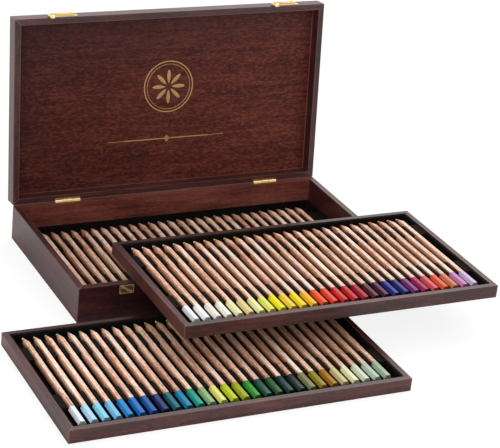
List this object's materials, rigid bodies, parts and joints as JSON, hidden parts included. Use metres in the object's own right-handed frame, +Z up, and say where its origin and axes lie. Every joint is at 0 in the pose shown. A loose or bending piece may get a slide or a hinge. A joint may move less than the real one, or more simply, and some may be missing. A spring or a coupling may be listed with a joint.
{
  "type": "pencil presentation case",
  "caption": "Dark wooden case for coloured pencils, lid hinged open, with swinging brass latches and lift-out trays of hexagonal pencils in grooved inserts.",
  "frame": {"origin": "centre of the case's underside", "axes": "+X along the case to its right end, +Y from the front to the hinged back, +Z up"},
  "size_m": [0.5337, 0.4884, 0.2658],
  "materials": {
    "wood": "satin dark mahogany stain",
    "panel_wood": "satin dark mahogany stain",
    "insert": "matt black",
    "cedar": "clear-lacquered cedar",
    "lacquer": "gloss lacquer, one colour for each pencil",
    "colour_lead": "waxy, one colour for each pencil",
    "brass": "polished",
    "screw_brass": "polished"
  },
  "bodies": {
    "case": {"case_front_wall": "wood", "case_back_wall": "wood", "case_left_wall": "wood", "case_right_wall": "wood", "case_floor_panel": "panel_wood", "case_insert": "insert", "case_pencil_barrels": "cedar", "case_pencil_dipped_ends": "lacquer", "case_pencil_leads": "colour_lead", "left_hinge_case_leaf": "brass", "right_hinge_case_leaf": "brass", "left_hinge_pin": "brass", "right_hinge_pin": "brass", "case_hinge_screws": "screw_brass", "left_catch_plate": "brass", "right_catch_plate": "brass", "catch_plate_screws": "screw_brass"},
    "lid": {"lid_front_rail": "wood", "lid_back_rail": "wood", "lid_left_rail": "wood", "lid_right_rail": "wood", "lid_panel": "panel_wood", "left_hinge_lid_leaf": "brass", "right_hinge_lid_leaf": "brass", "lid_hinge_screws": "screw_brass", "left_latch_plate": "brass", "right_latch_plate": "brass", "left_latch_rivet": "brass", "right_latch_rivet": "brass", "latch_plate_screws": "screw_brass"},
    "left_latch": {"left_latch_bar": "brass"},
    "right_latch": {"right_latch_bar": "brass"},
    "upper_tray": {"upper_tray_front_wall": "wood", "upper_tray_back_wall": "wood", "upper_tray_left_wall": "wood", "upper_tray_right_wall": "wood", "upper_tray_floor_panel": "panel_wood", "upper_tray_insert": "insert", "upper_tray_pencil_barrels": "cedar", "upper_tray_pencil_dipped_ends": "lacquer", "upper_tray_pencil_leads": "colour_lead"},
    "lower_tray": {"lower_tray_front_wall": "wood", "lower_tray_back_wall": "wood", "lower_tray_left_wall": "wood", "lower_tray_right_wall": "wood", "lower_tray_floor_panel": "panel_wood", "lower_tray_insert": "insert", "lower_tray_pencil_barrels": "cedar", "lower_tray_pencil_dipped_ends": "lacquer", "lower_tray_pencil_leads": "colour_lead"}
  },
  "joints": [
    {"name": "lid_hinge", "type": "hinge", "parent": "case", "child": "lid", "pos_m": [0, 0.11015, 0.0415], "axis": [-1, 0, 0], "range_deg": [-87.5, 0]},
    {"name": "left_latch_swing", "type": "hinge", "parent": "lid", "child": "left_latch", "pos_m": [-0.1265, 0.13772, 0.26001], "axis": [0, 0.0958, 0.9954], "range_deg": [0, 15]},
    {"name": "right_latch_swing", "type": "hinge", "parent": "lid", "child": "right_latch", "pos_m": [0.1555, 0.13772, 0.26001], "axis": [0, 0.0958, 0.9954], "range_deg": [0, 15]},
    {"name": "upper_tray_slide", "type": "slide", "parent": "case", "child": "upper_tray", "axis": [0, -1, 0], "range_m": [-0.03, 0.08]},
    {"name": "lower_tray_slide", "type": "slide", "parent": "case", "child": "lower_tray", "axis": [0, -1, 0], "range_m": [-0.018, 0.06]}
  ]
}
